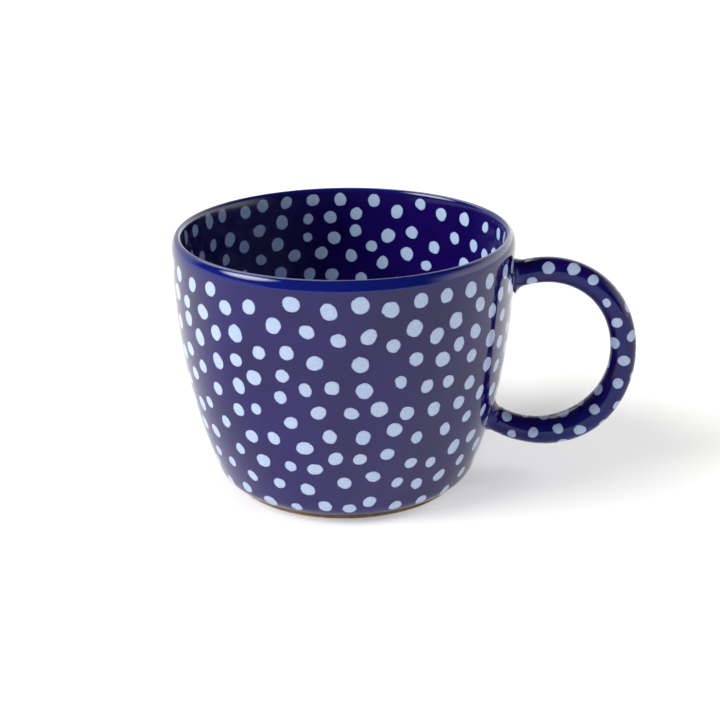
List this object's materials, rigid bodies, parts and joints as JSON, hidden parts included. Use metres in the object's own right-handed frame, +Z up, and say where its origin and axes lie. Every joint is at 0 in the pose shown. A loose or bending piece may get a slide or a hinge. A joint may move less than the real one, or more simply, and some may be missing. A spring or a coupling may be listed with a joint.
{
  "type": "stoneware mug",
  "caption": "Round stoneware mug with a tapered wall, rounded lip, bare foot ring and ring-shaped coil handle, glazed cobalt blue with pale blue spots, for hot drinks.",
  "frame": {"origin": "on the table plane, under the middle of the whole mug's length, cup and handle together; the cup's own axis is at x = -0.0192", "axes": "+Z up out of the mouth, +X from the cup towards the handle, Y across; the handle lies in the plane y = 0"},
  "size_m": [0.1434, 0.105, 0.08],
  "materials": {
    "cobalt_glaze": "high gloss deep cobalt glaze with hand-dabbed pale blue spots",
    "bare_stoneware": "matt unglazed tan clay, slightly sandy"
  },
  "bodies": {
    "root": {"cup_body": "cobalt_glaze", "foot_ring": "bare_stoneware", "handle": "cobalt_glaze", "handle_joint_upper": "cobalt_glaze", "handle_joint_lower": "cobalt_glaze"}
  },
  "joints": []
}
